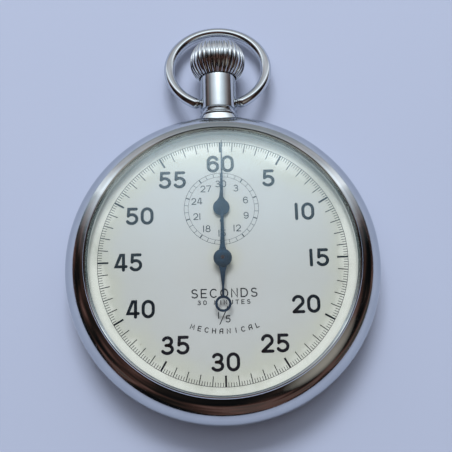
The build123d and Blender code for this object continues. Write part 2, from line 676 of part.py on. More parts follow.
with BuildPart() as barrel_drum:
    with BuildSketch(Plane.XY.offset(4.3)):
        with Locations(barrel_at):
            Polygon(*tooth_points(barrel_teeth, barrel_m, barrel_phase), align=None)
            Circle(1.2, mode=Mode.SUBTRACT)
    extrude(amount=0.7)
    with BuildSketch(Plane.XY.offset(5.0)):
        with Locations(barrel_at):
            Circle(6.8)
            Circle(6.4, mode=Mode.SUBTRACT)
    extrude(amount=1.0)
    with Locations((barrel_at[0], barrel_at[1], 5.86)):
        Cylinder(6.6, 0.14, align=UP, mode=Mode.SUBTRACT)
keep(barrel_drum.part, "barrel_drum")
keep(turned(barrel_at, [(6.58, 5.87, 6.02)], 1.2), "barrel_cover")
keep(spiral_ribbon(barrel_at, 5.08, 5.8, 1.45, 6.25, 9, 0.16, 0), "mainspring")

keep(gear(second_at, 6.35, 6.6, second_teeth, second_m, second_wheel_phase, 0.4, 3.5, 1.0, 2), "centre_wheel")
keep(pinion(second_at, [(0.13, 3.15, 4.3), (0.5, 4.2, 4.35), (0.38, 4.35, 6.8), (0.13, 6.8, 7.6)],
            4.4, 5.1, second_leaves, barrel_m, second_phase), "centre_pinion")
keep(gear(third_at, 5.3, 5.52, third_teeth, third_m, third_wheel_phase, 0.32, 3.25, 0.85, 2), "third_wheel")
keep(pinion(third_at, [(0.13, 3.15, 4.3), (0.3, 4.3, 6.85), (0.13, 6.8, 7.6)],
            6.25, 6.72, third_leaves, second_m, third_phase), "third_pinion")
keep(gear(sweep_at, 5.85, 6.07, fourth_teeth, fourth_m, fourth_phase, 0.37, 3.1, 0.85, 2), "fourth_wheel")
with BuildPart() as seconds_arbor:
    for radius, low, high in [(0.35, 1.0, 8.9), (0.29, 8.9, 11.8)]:
        with Locations((0, 0, low)):
            Cylinder(radius, high - low, align=UP)
    with BuildSketch(Plane.XY.offset(5.15)):
        Polygon(*tooth_points(fourth_leaves, third_m, fourth_pinion_phase), align=None)
    extrude(amount=0.55)
    with BuildSketch(Plane.XY.offset(8.1)):
        Polygon(*tooth_points(drive_leaves, drive_m, drive_phase), align=None)
    extrude(amount=0.32)
keep(seconds_arbor.part, "seconds_arbor")
keep(pinion(escape_at, [(0.13, 3.15, 4.3), (0.2, 4.3, 6.85), (0.13, 6.8, 7.6)],
            5.7, 6.25, escape_leaves, fourth_m, escape_phase), "escape_pinion")

with BuildPart() as escape_wheel:
    with BuildSketch(Plane.XY.offset(5.22)):
        with Locations(escape_at):
            Polygon(*[
                polar((0, 0), radius, (k + share) * 360 / escape_teeth)
                for k in range(escape_teeth)
                for radius, share in [(2.05, 0.0), (escape_r - 0.06, 0.32), (escape_r, 0.5), (2.05, 0.42)]
            ], align=None)
            Circle(1.75, mode=Mode.SUBTRACT)
            Circle(0.55)
            Rectangle(3.7, 0.3)
            Rectangle(0.3, 3.7)
            Circle(0.22, mode=Mode.SUBTRACT)
    extrude(amount=0.24)
keep(escape_wheel.part, "escape_wheel")

# ---------------------------------------------------------------- escapement and balance
line = 235.0
with BuildPart() as pallet_fork:
    entry = polar(escape_at, escape_r + 0.28, line + 31)
    leave = polar(escape_at, escape_r + 0.28, line - 31)
    slot_at = polar(balance_at, 0.95, line - 180)
    with BuildSketch(Plane.XY.offset(5.24)):
        Polygon(*bar_points(pallet_at, entry, 0.6, 0.42), align=None)
        Polygon(*bar_points(pallet_at, leave, 0.6, 0.42), align=None)
        Polygon(*bar_points(pallet_at, polar(balance_at, 1.35, line - 180), 0.5, 0.36), align=None)
        Polygon(*bar_points(polar(balance_at, 1.5, line - 180), slot_at, 0.5, 0.8), align=None)
        Polygon(*bar_points(polar(balance_at, 1.25, line - 180), polar(balance_at, 0.7, line - 180), 0.26, 0.26),
                align=None, mode=Mode.SUBTRACT)
        with Locations(pallet_at):
            Circle(0.5)
            Circle(0.22, mode=Mode.SUBTRACT)
    extrude(amount=0.22)
keep(pallet_fork.part, "pallet_fork")

with BuildPart() as pallet_stones:
    for side in (-31, 31):
        at = polar(escape_at, escape_r + 0.32, line + side)
        with Locations(Location((at[0], at[1], 5.48), (0, 0, line + side * 1.25))):
            Box(0.55, 0.3, 0.2, align=UP)
keep(pallet_stones.part, "pallet_stones")
keep(turned(pallet_at, [(0.13, 4.25, 4.85), (0.2, 4.85, 6.85), (0.13, 6.85, 7.6)]), "pallet_staff")

with BuildPart() as balance_wheel:
    with BuildSketch(Plane.XY.offset(3.3)):
        with Locations(balance_at):
            Circle(5.5)
            Circle(4.85, mode=Mode.SUBTRACT)
    extrude(amount=0.6)
    with BuildSketch(Plane.XY.offset(3.45)):
        with Locations(balance_at):
            Circle(0.95)
            Rectangle(9.9, 0.7, rotation=20)
            Circle(0.42, mode=Mode.SUBTRACT)
    extrude(amount=0.28)
keep(balance_wheel.part, "balance_wheel")

with BuildPart() as balance_staff:
    for radius, low, high in [(0.12, 2.02, 2.85), (0.25, 2.85, 3.45), (0.4, 3.45, 3.8), (0.3, 3.8, 6.8),
                              (1.25, 5.6, 5.85), (0.12, 6.8, 7.6)]:
        with Locations((balance_at[0], balance_at[1], low)):
            Cylinder(radius, high - low, align=UP)
    with Locations((slot_at[0], slot_at[1], 5.3)):
        Cylinder(0.09, 0.35, align=UP)
keep(balance_staff.part, "balance_staff")
keep(spiral_ribbon(balance_at, 3.0, 3.2, 0.6, 3.4, 10, 0.06, 217), "hairspring")
stud_at = polar(balance_at, 3.55, 217)
keep(turned(stud_at, [(0.28, 1.9, 3.2)]), "hairspring_stud")

with BuildPart() as regulator:
    with BuildSketch(Plane.XY.offset(1.72)):
        with Locations(balance_at):
            Circle(1.5)
        Polygon(*bar_points(balance_at, polar(balance_at, 4.4, 160), 0.9, 0.35), align=None)
        Polygon(*bar_points(balance_at, polar(balance_at, 3.3, 260), 0.9, 0.6), align=None)
        with Locations(balance_at):
            Circle(0.8, mode=Mode.SUBTRACT)
    extrude(amount=0.2)
keep(regulator.part, "regulator")

# ---------------------------------------------------------------- minute register
between_phase = mesh_phase(sweep_at, between_at, drive_leaves, drive_phase, between_teeth)
minute_phase = mesh_phase(between_at, minute_at, between_leaves, 0.0, minute_teeth)
keep(gear(between_at, 8.14, 8.36, between_teeth, drive_m, between_phase, 0.3, 3.0, 0.8, 2), "intermediate_wheel")
keep(pinion(between_at, [(0.13, 7.5, 8.1), (0.28, 8.0, 8.5), (0.13, 8.85, 9.12)], 8.48, 8.86, between_leaves,
            minute_m, 0.0), "intermediate_pinion")
keep(gear(minute_at, 8.55, 8.78, minute_teeth, minute_m, minute_phase, 0.32, 3.4, 0.9, 2), "minute_wheel")
keep(turned(minute_at, [(0.3, 1.0, 9.0), (0.24, 9.0, 10.6)]), "minute_arbor")


def heart(at, facing, bore):
    """Heart cam whose low point looks along the facing angle."""
    points = []
    for k in range(72):
        angle = -180 + 5 * k
        points.append(polar((0, 0), 0.62 + 0.98 * abs(angle) / 180, facing + angle))
    with BuildPart() as cam:
        with BuildSketch(Plane.XY.offset(1.12)):
            with Locations(at):
                Polygon(*points, align=None)
                Circle(bore, mode=Mode.SUBTRACT)
        extrude(amount=0.5)
    return cam.part


seconds_push = (0.938, 0.347)
minute_push = (0.58, 0.815)
keep(heart(sweep_at, degrees(atan2(-seconds_push[1], -seconds_push[0])), 0.37), "seconds_heart")
keep(heart(minute_at, degrees(atan2(-minute_push[1], -minute_push[0])), 0.32), "minute_heart")

# ---------------------------------------------------------------- start, stop and reset work
with BuildPart() as reset_hammer:
    seconds_face = (-2.7 * seconds_push[0], -2.7 * seconds_push[1])
    minute_face = (-2.25 * minute_push[0], register_y - 2.25 * minute_push[1])
    with BuildSketch(Plane.XY.offset(work_low)):
        with Locations(hammer_at):
            Circle(1.15)
        for face, push in ((seconds_face, seconds_push), (minute_face, minute_push)):
            back = (face[0] - 0.9 * push[0], face[1] - 0.9 * push[1])
            Polygon(*bar_points(hammer_at, back, 1.5, 1.1), align=None)
            Polygon(*bar_points(back, face, 1.6, 1.8), align=None)
            with Locations(back):
                Circle(0.55)
        Polygon(*bar_points(hammer_at, (-8.1, 10.95), 1.4, 0.5), align=None)
        with Locations(hammer_at):
            Circle(0.46, mode=Mode.SUBTRACT)
    extrude(amount=work_high - work_low)
keep(reset_hammer.part, "reset_hammer")

with BuildPart() as brake_lever:
    pad = polar(balance_at, 5.5 + 0.15 + 0.35, 115)
    with BuildSketch(Plane.XY.offset(work_low)):
        with Locations(brake_at):
            Circle(1.15)
        Polygon(*bar_points(brake_at, pad, 1.4, 0.8), align=None)
        Polygon(*bar_points(brake_at, (-11.2, 11.0), 1.3, 0.5), align=None)
        with Locations(pad):
            Circle(0.6)
        with Locations(brake_at):
            Circle(0.46, mode=Mode.SUBTRACT)
    extrude(amount=work_high - work_low)
    with Locations((pad[0], pad[1], work_low)):
        Cylinder(0.35, 2.7, align=UP)
keep(brake_lever.part, "brake_lever")

with BuildPart() as operating_lever:
    with BuildSketch(Plane.XY.offset(5.55)):
        Polygon(*bar_points(lever_at, (-0.9, 13.75), 1.5, 1.1), align=None)
        Polygon((-1.4, 13.1), (0.75, 13.3), (0.75, 14.82), (-0.75, 14.82), align=None)
        Polygon((-7.35, 9.9), (-6.5, 10.6), (-6.85, 12.5), (-7.3, 12.45), align=None)
        with Locations(lever_at):
            Circle(1.2)
            Circle(0.46, mode=Mode.SUBTRACT)
    extrude(amount=0.75)
keep(operating_lever.part, "operating_lever")

with BuildPart() as column_wheel:
    for radius, low, high in [(1.7, 1.8, 2.1), (0.5, 1.8, 6.85), (0.38, 6.8, 7.8)]:
        with Locations((column_at[0], column_at[1], low)):
            Cylinder(radius, high - low, align=UP)
    with Locations((column_at[0], column_at[1], work_low)):
        with PolarLocations(1.25, 6):
            Cylinder(0.36, 0.75, align=UP)
    with BuildSketch(Plane.XY.offset(5.6)):
        with Locations(column_at):
            Polygon(*[
                polar((0, 0), radius, (k + share) * 30)
                for k in range(12)
                for radius, share in [(1.45, 0.0), (1.9, 0.85)]
            ], align=None)
    extrude(amount=0.6)
keep(column_wheel.part, "column_wheel")

with BuildPart() as lever_studs:
    for at in (hammer_at, brake_at):
        with Locations((at[0], at[1], 0.92)):
            Cylinder(0.75, 0.16, align=UP)
            Cylinder(0.4, 2.9, align=UP)
        with Locations((at[0], at[1], work_high + 0.02)):
            Cylinder(0.9, bridge_low - 0.02 - work_high - 0.02, align=UP)
    with Locations((lever_at[0], lever_at[1], 4.8)):
        Cylinder(0.4, 3.0, align=UP)
        Cylinder(0.75, 0.7, align=UP)
    with Locations((lever_at[0], lever_at[1], 6.34)):
        Cylinder(0.9, 0.62, align=UP)
keep(lever_studs.part, "lever_studs")

# ---------------------------------------------------------------- jewels, screws, clamps
with BuildPart() as jewels:
    for at in pivots:
        with Locations((at[0], at[1], bridge_low + 0.02), (at[0], at[1], plate_low + 0.02)):
            Cylinder(0.69, 0.36, align=UP)
            Cylinder(0.16, 0.36, align=UP, mode=Mode.SUBTRACT)
    with Locations((0, 0, bridge_low + 0.02)):
        Cylinder(0.89, 0.36, align=UP)
        Cylinder(0.38, 0.36, align=UP, mode=Mode.SUBTRACT)
    with Locations((minute_at[0], minute_at[1], bridge_low + 0.02)):
        Cylinder(0.69, 0.36, align=UP)
        Cylinder(0.33, 0.36, align=UP, mode=Mode.SUBTRACT)
    with Locations((balance_at[0], balance_at[1], 1.97), (balance_at[0], balance_at[1], plate_low + 0.02),
                   (pallet_at[0], pallet_at[1], plate_low + 0.02)):
        Cylinder(0.69, 0.36, align=UP)
        Cylinder(0.16, 0.36, align=UP, mode=Mode.SUBTRACT)
keep(jewels.part, "jewels")

with BuildPart() as movement_screws:
    for k, at in enumerate(barrel_screws + train_screws):
        add(slotted_screw(at, bridge_low + 0.02, bridge_low + 0.6, 0.9, 0.5, 8.2, 40 * k))
    for at in cock_screws:
        add(slotted_screw(at, 1.97, 2.55, 0.9, 0.5, 8.2, 75))
    for k, angle in enumerate(clamp_angles):
        add(slotted_screw(polar((0, 0), 19.2, angle), 2.4, 2.74, 0.8, 0.4, 3.8, 50 * k))
    add(slotted_screw(click_at, 1.7, 1.96, 0.85, 0.4, 3.85, 20))
keep(movement_screws.part, "movement_screws")

with BuildPart() as clamps:
    for angle in clamp_angles:
        at = polar((0, 0), 20.1, angle)
        hole = polar((0, 0), 19.2, angle)
        with BuildSketch(Plane.XY.offset(2.76)):
            with Locations(Location((at[0], at[1], 0), (0, 0, angle))):
                SlotOverall(3.6, 1.9)
            with Locations(hole):
                Circle(0.43, mode=Mode.SUBTRACT)
        extrude(amount=0.32)
keep(clamps.part, "movement_clamps")

print(len(names), "pieces written")
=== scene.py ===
import bmesh
import bpy
import json
from math import atan2, cos, hypot, pi, radians, sin
from mathutils import Matrix, Vector


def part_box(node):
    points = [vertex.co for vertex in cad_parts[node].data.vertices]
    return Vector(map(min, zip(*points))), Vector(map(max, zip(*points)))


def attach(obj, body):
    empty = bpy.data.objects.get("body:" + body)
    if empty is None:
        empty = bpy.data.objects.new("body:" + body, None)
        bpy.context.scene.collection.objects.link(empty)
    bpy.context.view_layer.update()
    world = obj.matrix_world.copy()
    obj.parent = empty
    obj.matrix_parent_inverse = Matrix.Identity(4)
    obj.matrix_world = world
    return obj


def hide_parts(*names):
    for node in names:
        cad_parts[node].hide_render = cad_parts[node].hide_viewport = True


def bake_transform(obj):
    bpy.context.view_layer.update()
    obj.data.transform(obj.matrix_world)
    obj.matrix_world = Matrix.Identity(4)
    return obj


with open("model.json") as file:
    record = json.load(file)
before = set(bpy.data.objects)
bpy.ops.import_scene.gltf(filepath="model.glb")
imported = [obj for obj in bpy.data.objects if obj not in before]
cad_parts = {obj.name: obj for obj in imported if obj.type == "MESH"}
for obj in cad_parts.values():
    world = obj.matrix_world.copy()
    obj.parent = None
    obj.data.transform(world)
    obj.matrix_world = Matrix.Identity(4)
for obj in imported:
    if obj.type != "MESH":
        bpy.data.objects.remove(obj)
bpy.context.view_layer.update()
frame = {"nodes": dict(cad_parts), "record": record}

MM = 0.001
NODES = frame["nodes"]
scene = bpy.context.scene
scene.view_settings.view_transform = "Standard"
scene.view_settings.look = "None"

DIAL_THICKNESS = 0.42
DIAL_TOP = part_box("main_plate")[1].z / MM + DIAL_THICKNESS
REGISTER_Y = (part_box("minute_arbor")[0].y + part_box("minute_arbor")[1].y) / 2 / MM
TRACK_R = 19.4


# ---------------------------------------------------------------- helpers
def add_node(tree, kind, inputs=(), **props):
    """A node whose inputs are either linked sockets or plain values."""
    node = tree.nodes.new("ShaderNode" + kind)
    for key, value in props.items():
        setattr(node, key, value)
    for key, value in dict(inputs).items():
        if isinstance(value, bpy.types.NodeSocket):
            tree.links.new(value, node.inputs[key])
        else:
            node.inputs[key].default_value = value
    return node


def colour_ramp(tree, fac, stops):
    """Colours by place along a 0 to 1 value."""
    node = add_node(tree, "ValToRGB", {"Fac": fac})
    elements = node.color_ramp.elements
    while len(elements) < len(stops):
        elements.new(0.5)
    for element, (place, tone) in zip(elements, stops):
        element.position = place
        element.color = (*tone, 1)
    return node.outputs["Color"]


def closed_piece(name, verts, faces, material):
    """An object from a closed mesh, with its faces turned outward."""
    mesh = bpy.data.meshes.new(name)
    mesh.from_pydata(verts, [], faces)
    mesh.validate()
    work = bmesh.new()
    work.from_mesh(mesh)
    bmesh.ops.recalc_face_normals(work, faces=work.faces)
    work.to_mesh(mesh)
    work.free()
    mesh.materials.append(material)
    obj = bpy.data.objects.new(name, mesh)
    scene.collection.objects.link(obj)
    return obj


class Shader:
    """A node tree with one Principled shader, built by short calls."""

    def __init__(self, name, **constants):
        self.material = bpy.data.materials.new(name)
        self.material.use_nodes = True
        self.tree = self.material.node_tree
        self.bsdf = self.tree.nodes["Principled BSDF"]
        for key, value in constants.items():
            self.bsdf.inputs[key.replace("_", " ")].default_value = value
        self.coords = self.tree.nodes.new("ShaderNodeTexCoord")

    def add(self, kind, inputs=(), **props):
        return add_node(self.tree, kind, inputs, **props)

    def mapped(self, scale=(1, 1, 1), rotation=(0, 0, 0), location=(0, 0, 0)):
        place = {"Vector": self.coords.outputs["Object"], "Scale": scale, "Rotation": rotation, "Location": location}
        return self.add("Mapping", place).outputs["Vector"]

    def noise(self, scale, detail=4.0, rough=0.55, vector=None, distortion=0.0):
        place = vector or self.coords.outputs["Object"]
        node = self.add("TexNoise", {"Vector": place, "Scale": scale, "Detail": detail, "Roughness": rough,
                                     "Distortion": distortion})
        return node.outputs["Fac"]

    def cells(self, scale):
        """Distance to the nearest of scattered points."""
        place = {"Vector": self.coords.outputs["Object"], "Scale": scale}
        return self.add("TexVoronoi", place).outputs["Distance"]

    def ramp(self, fac, *stops):
        return colour_ramp(self.tree, fac, stops)

    def span(self, value, low, high, to_low=0.0, to_high=1.0):
        return self.add("MapRange", {"Value": value, "From Min": low, "From Max": high, "To Min": to_low,
                                     "To Max": to_high}).outputs["Result"]

    def math(self, operation, a, b=0.0):
        node = self.add("Math", {0: a, 1: b}, operation=operation)
        return node.outputs["Value"]

    def mix(self, fac, a, b, blend="MIX"):
        node = self.tree.nodes.new("ShaderNodeMix")
        node.data_type = "RGBA"
        node.blend_type = blend
        for index, value in ((0, fac), (6, a), (7, b)):
            if isinstance(value, bpy.types.NodeSocket):
                self.tree.links.new(value, node.inputs[index])
            else:
                node.inputs[index].default_value = value if index == 0 else (*value, 1)
        return node.outputs[2]

    def radius(self, centre=(0.0, 0.0)):
        place = self.mapped(location=(-centre[0] * MM, -centre[1] * MM, 0))
        parts = self.add("SeparateXYZ", {"Vector": place})
        x2 = self.math("POWER", self.math("ABSOLUTE", parts.outputs["X"]), 2.0)
        y2 = self.math("POWER", self.math("ABSOLUTE", parts.outputs["Y"]), 2.0)
        return self.math("SQRT", self.math("ADD", x2, y2))

    def link(self, output, name):
        self.tree.links.new(output, self.bsdf.inputs[name])

    def bump(self, height, strength, distance):
        node = self.add("Bump", {"Height": height, "Strength": strength, "Distance": distance})
        self.link(node.outputs["Normal"], "Normal")


def metal(name, bright, dull, rough, grain=(1, 1, 1), grain_scale=3000.0, bump=0.1, wear=0.5, **constants):
    """Metal whose colour, polish and grain all vary over the surface."""
    m = Shader(name, Metallic=1.0, **constants)
    tone = m.noise(260.0, 5.0, 0.6)
    m.link(m.mix(m.span(tone, 0.35, 0.75, 0.0, wear), bright, dull), "Base Color")
    fine = m.noise(grain_scale, 3.0, 0.6, m.mapped(scale=grain))
    haze = m.noise(420.0, 4.0, 0.65)
    mixed = m.math("ADD", m.math("MULTIPLY", fine, 0.45), m.math("MULTIPLY", haze, 0.55))
    m.link(m.span(mixed, 0.3, 0.7, rough[0], rough[1]), "Roughness")
    m.bump(fine, bump, 0.00002)
    return m.material


def chrome(name, slate):
    """Polished plating: hairline scratches, faint smudges, small pits, and a painted dark reflection: a slate shade
    mixed into the colour where the surface turns away.
    """
    m = Shader(name, Metallic=1.0)
    smudge = m.noise(160.0, 6.0, 0.62, distortion=0.6)
    hairs_a = m.noise(900.0, 2.0, 0.5, m.mapped(scale=(1, 22, 22), rotation=(0.4, 0.2, 0.7)))
    hairs_b = m.noise(900.0, 2.0, 0.5, m.mapped(scale=(20, 1, 20), rotation=(0.1, 0.5, -0.5)))
    hairs = m.math("MAXIMUM", m.span(hairs_a, 0.66, 0.74), m.span(hairs_b, 0.67, 0.75))
    pits = m.span(m.cells(420.0), 0.035, 0.02)
    tone = m.mix(m.span(smudge, 0.35, 0.8), (0.70, 0.725, 0.74), (0.60, 0.62, 0.635))
    tone = m.mix(m.math("MULTIPLY", pits, 0.8), tone, (0.16, 0.13, 0.11))
    # Painted reflection: the colour darkens to slate at grazing angles, standing in for the dark room reflected at
    # the edges.
    grazing_painted_shade = m.add("LayerWeight", {"Blend": 0.5}).outputs["Facing"]
    tone = m.mix(m.span(grazing_painted_shade, 0.42, 0.88, 0.0, slate), tone, (0.26, 0.30, 0.35))
    m.link(tone, "Base Color")
    polish = m.math("ADD", m.span(smudge, 0.35, 0.75, 0.035, 0.11), m.math("MULTIPLY", hairs, 0.12))
    m.link(m.math("ADD", polish, m.math("MULTIPLY", pits, 0.3)), "Roughness")
    relief = m.math("ADD", m.math("MULTIPLY", hairs, -0.5), m.math("MULTIPLY", pits, -1.0))
    m.bump(relief, 0.12, 0.00002)
    return m.material


def dial_face():
    """Matt silvered lacquer, cooler in the middle, yellowed at the rim, with age specks; the outermost rim is also
    painted lighter, as painted light against the bezel's shadow.
    """
    m = Shader("dial_silver", Roughness=0.5, Specular_IOR_Level=0.3)
    reach = m.span(m.radius(), 0.0, 20.4 * MM)
    cloud = m.noise(90.0, 5.0, 0.6)
    reach = m.math("ADD", reach, m.span(cloud, 0.3, 0.7, -0.10, 0.10))
    # The last stop is partly real yellowing and partly painted light: much lighter at the very rim to hide the bezel
    # wall's shadow.
    base = m.ramp(reach, (0.0, (0.505, 0.512, 0.487)), (0.45, (0.505, 0.524, 0.518)), (0.74, (0.500, 0.515, 0.495)),
                  (0.90, (0.520, 0.530, 0.460)), (1.0, (0.720, 0.730, 0.660)))
    grain = m.noise(9000.0, 2.0, 0.5)
    base = m.mix(m.span(grain, 0.35, 0.7, 0.0, 0.10), base, (0.42, 0.45, 0.46))
    halo = m.span(m.radius((0.3, 0.4)), 1.2 * MM, 3.2 * MM, 0.45, 0.0)
    base = m.mix(halo, base, (0.47, 0.455, 0.32))
    stain = m.span(m.radius((0.5, REGISTER_Y - 0.3)), 1.2 * MM, 4.2 * MM, 0.40, 0.0)
    base = m.mix(stain, base, (0.52, 0.51, 0.38))
    spots = m.span(m.cells(330.0), 0.075, 0.03)
    patches = m.span(m.noise(140.0, 2.0, 0.5), 0.52, 0.66)
    base = m.mix(m.math("MULTIPLY", m.math("MULTIPLY", spots, patches), 0.55), base, (0.30, 0.29, 0.22))
    m.link(base, "Base Color")
    m.link(m.span(grain, 0.3, 0.7, 0.40, 0.58), "Roughness")
    m.bump(grain, 0.08, 0.00001)
    return m.material


def ink():
    """Printed enamel, slightly worn and uneven."""
    m = Shader("dial_ink", Roughness=0.4, Specular_IOR_Level=0.12)
    worn = m.noise(2600.0, 3.0, 0.6)
    m.link(m.mix(m.span(worn, 0.45, 0.75, 0.0, 0.3), (0.003, 0.005, 0.009), (0.02, 0.026, 0.036)), "Base Color")
    m.link(m.span(worn, 0.3, 0.7, 0.34, 0.55), "Roughness")
    m.bump(worn, 0.1, 0.00001)
    return m.material


def blued():
    """Heat-blued steel, from near-black slate to a clearer blue."""
    m = Shader("blued_steel", Metallic=0.5, Specular_IOR_Level=0.2)
    tint = m.noise(500.0, 4.0, 0.6)
    tone = m.mix(m.span(tint, 0.35, 0.7), (0.006, 0.018, 0.036), (0.016, 0.046, 0.088))
    m.link(tone, "Base Color")
    brush = m.noise(5000.0, 2.0, 0.5, m.mapped(scale=(6, 1, 1)))
    m.link(m.span(brush, 0.3, 0.7, 0.26, 0.42), "Roughness")
    m.bump(brush, 0.1, 0.00001)
    return m.material


def crystal():
    """Clear domed glass: it only shows as a gloss that grows at grazing angles and a greener rim."""
    m = Shader("crystal", Metallic=1.0, IOR=1.5)
    edge = m.span(m.radius(), 20.1 * MM, 21.1 * MM)
    wisps = m.noise(240.0, 4.0, 0.6)
    hairs = m.span(m.noise(1100.0, 2.0, 0.5, m.mapped(scale=(1, 26, 1), rotation=(0, 0, 0.7))), 0.70, 0.78)
    m.link(m.mix(edge, (0.72, 0.91, 1.0), (0.80, 0.88, 0.80)), "Base Color")
    gloss = m.math("POWER", m.add("LayerWeight", {"Blend": 0.5}).outputs["Facing"], 5.0)
    clear = m.math("ADD", m.span(gloss, 0.0, 1.0, 0.075, 0.9), m.math("MULTIPLY", edge, 0.05))
    clear = m.math("ADD", clear, m.math("MULTIPLY", hairs, 0.05))
    m.link(m.math("MINIMUM", clear, 0.9), "Alpha")
    m.link(m.span(wisps, 0.3, 0.8, 0.02, 0.07), "Roughness")
    return m.material


def ruby():
    m = Shader("ruby", Roughness=0.08, Coat_Weight=0.6)
    depth = m.noise(1800.0, 3.0, 0.6)
    m.link(m.mix(depth, (0.42, 0.02, 0.07), (0.75, 0.10, 0.20)), "Base Color")
    m.link(m.span(depth, 0.3, 0.7, 0.05, 0.16), "Roughness")
    return m.material


# The second number given to chrome is the strength of its painted dark edge reflection.
LOOKS = {
    "case_chrome": chrome("case_chrome", 0.75),
    "crystal": crystal(),
    "dial_silver": dial_face(),
    "blued_steel": blued(),
    "rhodium_plate": metal("rhodium_plate", (0.74, 0.73, 0.70), (0.55, 0.54, 0.50), (0.22, 0.40), (1, 9, 1), 2400.0,
                           0.25),
    "wheel_brass": metal("wheel_brass", (0.83, 0.62, 0.28), (0.62, 0.42, 0.16), (0.16, 0.34), (1, 6, 1), 2600.0, 0.2),
    "polished_steel": metal("polished_steel", (0.70, 0.71, 0.73), (0.46, 0.47, 0.50), (0.10, 0.26), (8, 1, 1), 2600.0,
                            0.12),
    "spring_steel": metal("spring_steel", (0.36, 0.39, 0.47), (0.20, 0.22, 0.30), (0.16, 0.32), (5, 5, 1), 2600.0,
                          0.12),
    "ruby": ruby(),
}
SLOT_OF = {entry["node"]: entry["material_slot"] for entry in frame["record"]["subparts"]}
SPECIAL = {
    "bezel": chrome("bezel_chrome", 0.10),
    "seconds_arbor": metal("arbor_steel", (0.10, 0.05, 0.045), (0.04, 0.022, 0.02), (0.30, 0.45)),
    "minute_arbor": metal("minute_arbor_steel", (0.05, 0.06, 0.08), (0.02, 0.025, 0.035), (0.34, 0.5)),
}
for node_name, node in NODES.items():
    node.data.materials.clear()
    node.data.materials.append(SPECIAL.get(node_name, LOOKS[SLOT_OF[node_name]]))
INK = ink()


# ---------------------------------------------------------------- printed dial
def arc(centre, rx, ry, start, stop, count=14):
    """Points along an ellipse, angles in degrees."""
    return [(centre[0] + rx * cos(radians(start + (stop - start) * k / count)),
             centre[1] + ry * sin(radians(start + (stop - start) * k / count))) for k in range(count + 1)]


SIX = (arc((0.34, 0.66), 0.33, 0.34, 28, 180) + [(0.01, 0.33)] + arc((0.34, 0.32), 0.33, 0.32, 180, 360, 14)
       + arc((0.34, 0.32), 0.33, 0.29, 0, 170, 14))
GLYPHS = {
    "0": [arc((0.34, 0.64), 0.34, 0.36, 0, 180) + arc((0.34, 0.36), 0.34, 0.36, 180, 360) + [(0.68, 0.64)]],
    "1": [[(0.06, 1.0), (0.06, 0.0)]],
    "2": [arc((0.34, 0.69), 0.32, 0.31, 168, -32, 16) + [(0.02, 0.0)], [(0.02, 0.0), (0.68, 0.0)]],
    "3": [arc((0.33, 0.755), 0.28, 0.245, 155, -90, 14) + [(0.24, 0.51)],
          [(0.24, 0.51)] + arc((0.32, 0.255), 0.34, 0.255, 90, -152, 16)],
    "4": [[(0.70, 0.23), (0.0, 0.23), (0.32, 1.0), (0.52, 1.0), (0.52, 0.0)]],
    "5": [[(0.62, 1.0), (0.10, 1.0), (0.07, 0.52)], [(0.07, 0.52)] + arc((0.31, 0.31), 0.35, 0.31, 128, -148, 18)],
    "6": [SIX],
    "7": [[(0.0, 1.0), (0.66, 1.0), (0.24, 0.0)]],
    "8": [arc((0.34, 0.755), 0.27, 0.245, 0, 360, 20), arc((0.34, 0.26), 0.34, 0.26, 0, 360, 20)],
    "9": [[(0.68 - x, 1.0 - y) for x, y in SIX]],
    "A": [[(0.0, 0.0), (0.0, 0.70), (0.22, 1.0), (0.66, 1.0), (0.66, 0.0)], [(0.0, 0.42), (0.66, 0.42)]],
    "C": [arc((0.42, 0.5), 0.42, 0.5, 48, 312, 18)],
    "D": [[(0.0, 0.0), (0.0, 1.0)] + arc((0.32, 0.5), 0.44, 0.5, 90, -90, 14) + [(0.0, 0.0)]],
    "E": [[(0.62, 1.0), (0.0, 1.0), (0.0, 0.0), (0.62, 0.0)], [(0.0, 0.5), (0.54, 0.5)]],
    "H": [[(0.0, 0.0), (0.0, 1.0)], [(0.7, 0.0), (0.7, 1.0)], [(0.0, 0.5), (0.7, 0.5)]],
    "I": [[(0.05, 0.0), (0.05, 1.0)]],
    "L": [[(0.0, 1.0), (0.0, 0.0), (0.6, 0.0)]],
    "M": [[(0.0, 0.0), (0.08, 1.0), (0.42, 0.25), (0.76, 1.0), (0.84, 0.0)]],
    "N": [[(0.0, 0.0), (0.0, 1.0), (0.68, 0.0), (0.68, 1.0)]],
    "O": [arc((0.42, 0.5), 0.42, 0.5, 0, 360, 24)],
    "S": [arc((0.34, 0.755), 0.30, 0.245, 35, 270, 14) + arc((0.34, 0.255), 0.34, 0.255, 90, -150, 14)],
    "T": [[(0.0, 1.0), (0.72, 1.0)], [(0.36, 1.0), (0.36, 0.0)]],
    "U": [[(0.0, 1.0)] + arc((0.34, 0.33), 0.34, 0.33, 180, 360, 12) + [(0.68, 1.0)]],
}
ADVANCE = {" ": 0.40, "1": 0.16, "I": 0.10, "C": 0.80, "O": 0.84, "M": 0.84, "T": 0.72, "D": 0.76, "S": 0.68,
           "E": 0.62, "L": 0.60, "N": 0.68, "H": 0.70, "A": 0.66, "U": 0.68}


